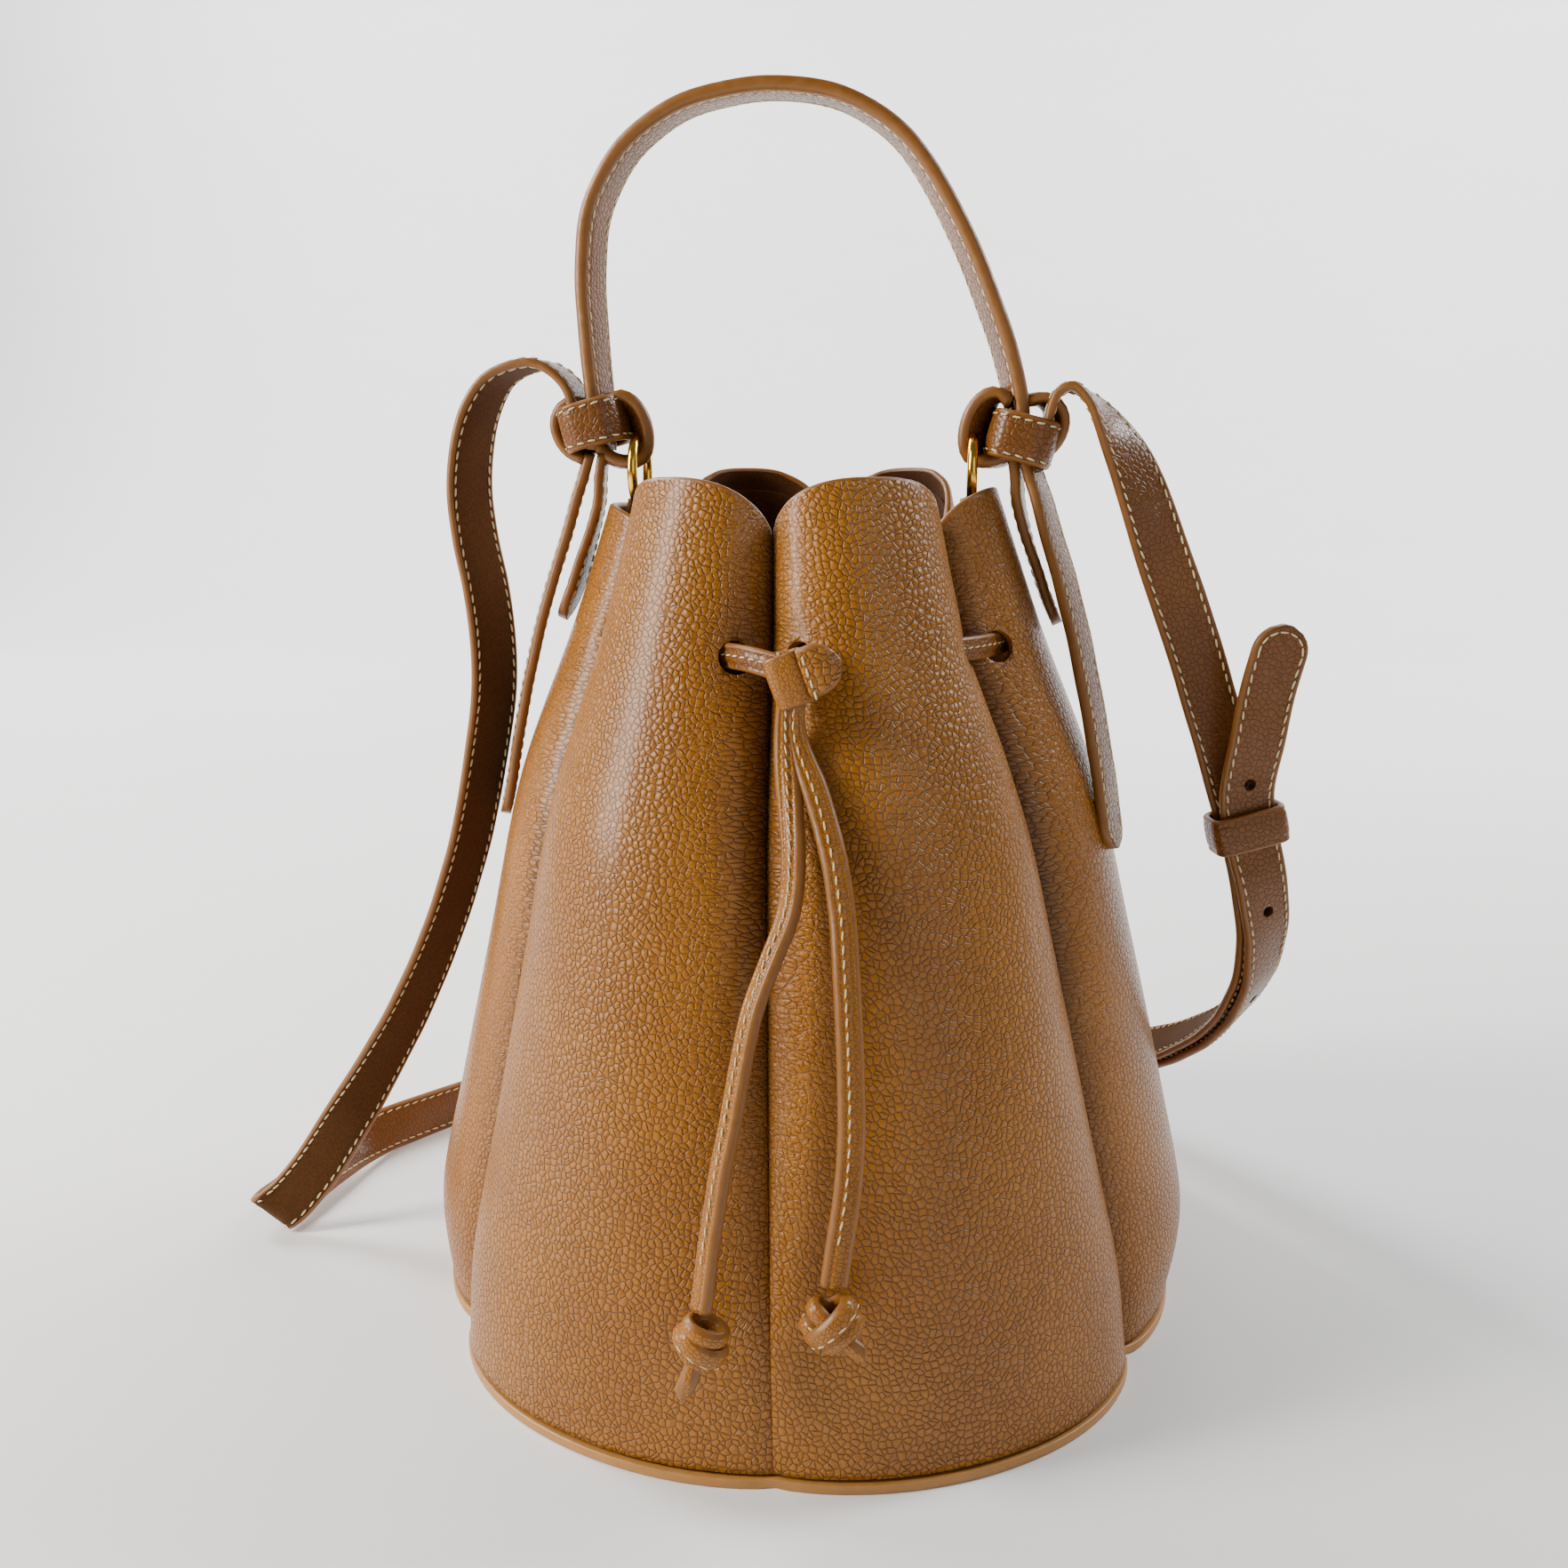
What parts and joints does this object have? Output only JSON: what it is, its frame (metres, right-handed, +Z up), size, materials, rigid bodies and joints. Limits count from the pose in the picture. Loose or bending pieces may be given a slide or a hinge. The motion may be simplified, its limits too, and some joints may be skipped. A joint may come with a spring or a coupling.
{
  "type": "drawstring bucket bag",
  "caption": "Leather bucket bag with bulging wall petals on a round base, a laced neck with a slider, a short handle and a long shoulder strap knotted to rings.",
  "frame": {"origin": "centre of the base's underside, on the surface that the bag stands on", "axes": "+Z up through the mouth; the front crease with the slider faces -Y; the handle spans X"},
  "size_m": [0.3233, 0.256, 0.3439],
  "materials": {
    "leather": "pebbled satin",
    "base_leather": "satin",
    "suede": "matte",
    "board": "matte",
    "gold_metal": "polished"
  },
  "bodies": {
    "root": {"petal_front_right": "leather", "petal_right": "leather", "petal_back_right": "leather", "petal_back_left": "leather", "petal_left": "leather", "petal_front_left": "leather", "strap_long_hanging": "leather", "strap_long_floor": "leather", "strap_short": "leather", "strap_tongue": "leather", "drawstring_lace": "leather", "drawstring_tail_left": "leather", "drawstring_tail_right": "leather", "drawstring_knot_left": "leather", "drawstring_knot_right": "leather", "base_panel": "base_leather", "lining_front_right": "suede", "lining_right": "suede", "lining_back_right": "suede", "lining_back_left": "suede", "lining_left": "suede", "lining_front_left": "suede", "base_lining": "suede", "ring_tab_left": "suede", "ring_tab_right": "suede", "base_board": "board", "strap_stud": "gold_metal"},
    "handle": {"handle_strap": "leather", "knot_wrap_left": "leather", "knot_loop_left": "leather", "strap_stub_left": "leather", "ring_left": "gold_metal", "tail_long_left": "leather", "tail_short_left": "leather", "knot_wrap_right": "leather", "knot_loop_right": "leather", "strap_stub_right": "leather", "ring_right": "gold_metal", "tail_long_right": "leather", "tail_short_right": "leather"},
    "slider": {"slider_band": "leather", "slider_tab": "leather"},
    "keeper": {"strap_keeper": "leather"}
  },
  "joints": [
    {"name": "handle_swing", "type": "hinge", "parent": "root", "child": "handle", "pos_m": [-0.002, 0, 0.2409], "axis": [1, 0, 0], "range_deg": [-40, 40]},
    {"name": "slider_slide", "type": "slide", "parent": "root", "child": "slider", "axis": [0, 0, -1], "range_m": [0, 0.006]},
    {"name": "keeper_slide", "type": "slide", "parent": "root", "child": "keeper", "axis": [0.2402, 0, -0.9707], "range_m": [0, 0.005]}
  ]
}
